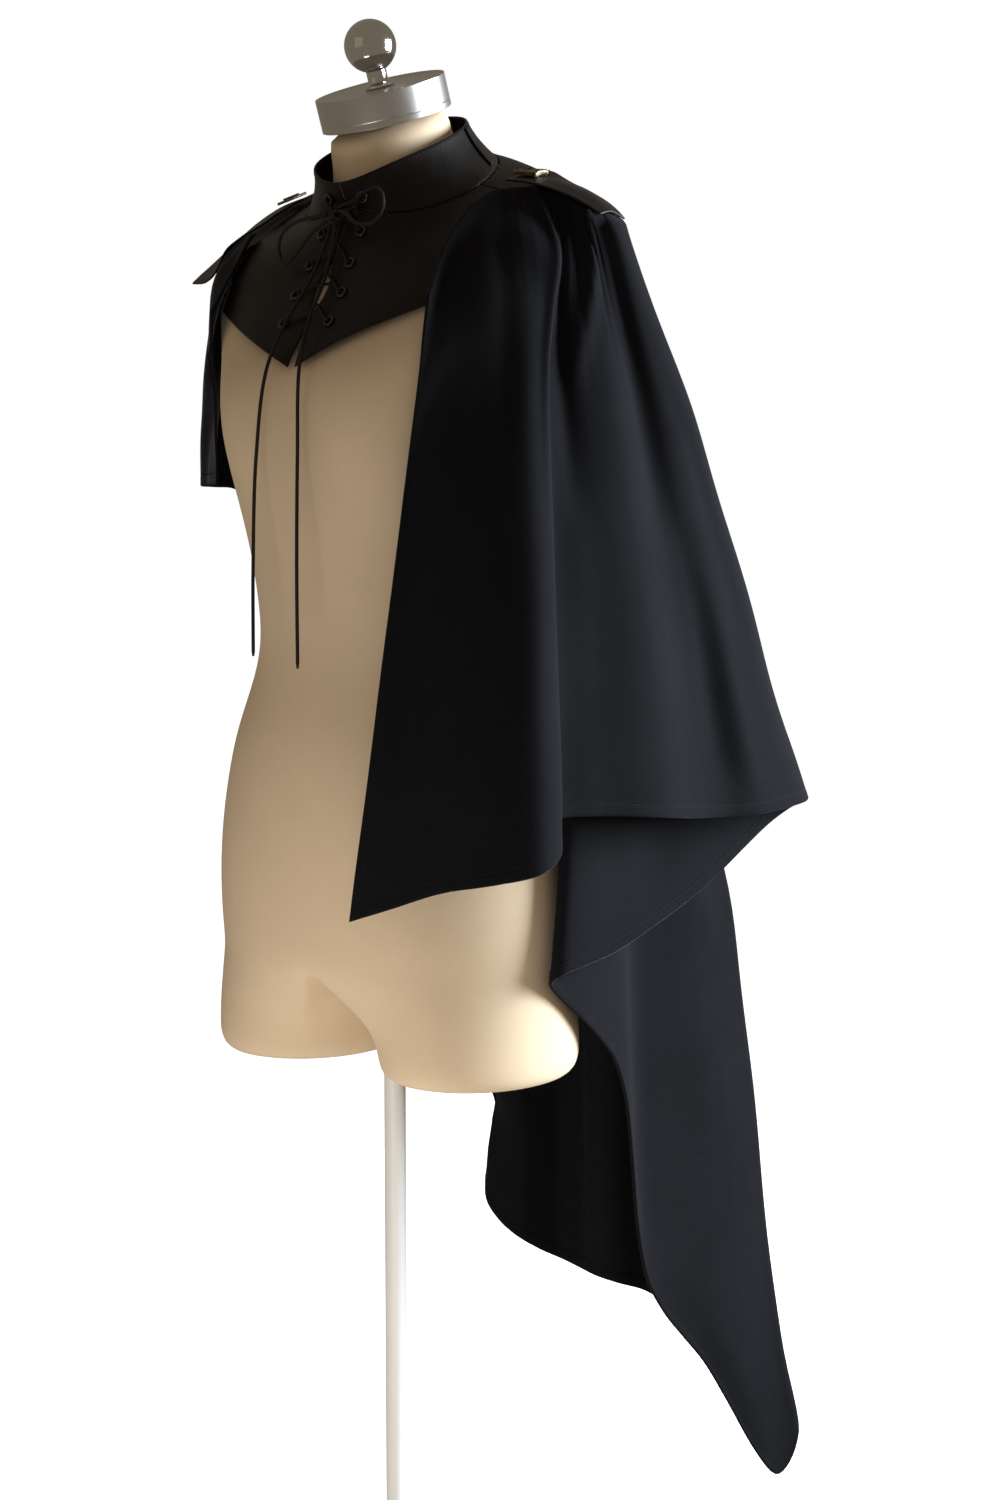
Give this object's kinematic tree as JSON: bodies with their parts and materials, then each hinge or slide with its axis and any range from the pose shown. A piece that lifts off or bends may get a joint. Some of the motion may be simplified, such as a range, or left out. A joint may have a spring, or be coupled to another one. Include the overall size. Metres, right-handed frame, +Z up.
{
  "type": "asymmetric laced-collar cape on a dress form",
  "caption": "Asymmetric draped cape with a laced leather stand collar and shoulder flaps, shown on a limbless linen dress form with a plain pole stand.",
  "frame": {"origin": "centre of the stand base's underside, on the floor and on the pole's axis", "axes": "+Z up, the form faces -Y, its left side and the long side of the cape are at +X"},
  "size_m": [0.5187, 0.5264, 1.5108],
  "materials": {
    "cape_cloth": "matte felted wool-like cloth, black with a faint blue-grey sheen",
    "collar_leather": "soft dark brown-black imitation leather, low sheen",
    "old_brass": "darkened, worn",
    "lace_cord": "round black cord",
    "form_linen": "tight cream linen",
    "cap_steel": "brushed round the neck",
    "finial_steel": "polished",
    "stand_metal": "plain pale satin paint"
  },
  "bodies": {
    "root": {"cape_front": "cape_cloth", "cape_side": "cape_cloth", "cape_back": "cape_cloth", "cape_right": "cape_cloth", "yoke_left": "collar_leather", "yoke_right": "collar_leather", "yoke_back": "collar_leather", "collar_stand_left": "collar_leather", "collar_stand_right": "collar_leather", "collar_stand_back": "collar_leather", "epaulette_left": "collar_leather", "epaulette_right": "collar_leather", "strap_left": "collar_leather", "strap_right": "collar_leather", "buckle_left": "old_brass", "buckle_right": "old_brass", "eyelet_left_1": "old_brass", "eyelet_left_2": "old_brass", "eyelet_left_3": "old_brass", "eyelet_left_4": "old_brass", "eyelet_left_5": "old_brass", "eyelet_right_1": "old_brass", "eyelet_right_2": "old_brass", "eyelet_right_3": "old_brass", "eyelet_right_4": "old_brass", "eyelet_right_5": "old_brass", "lace_run_left": "lace_cord", "lace_run_right": "lace_cord", "lace_knot": "lace_cord", "lace_loop_left": "lace_cord", "lace_loop_right": "lace_cord", "lace_tail_left": "lace_cord", "lace_tail_right": "lace_cord", "form_body": "form_linen", "neck_cap": "cap_steel", "finial": "finial_steel", "stand_pole": "stand_metal", "stand_base": "stand_metal"}
  },
  "joints": []
}
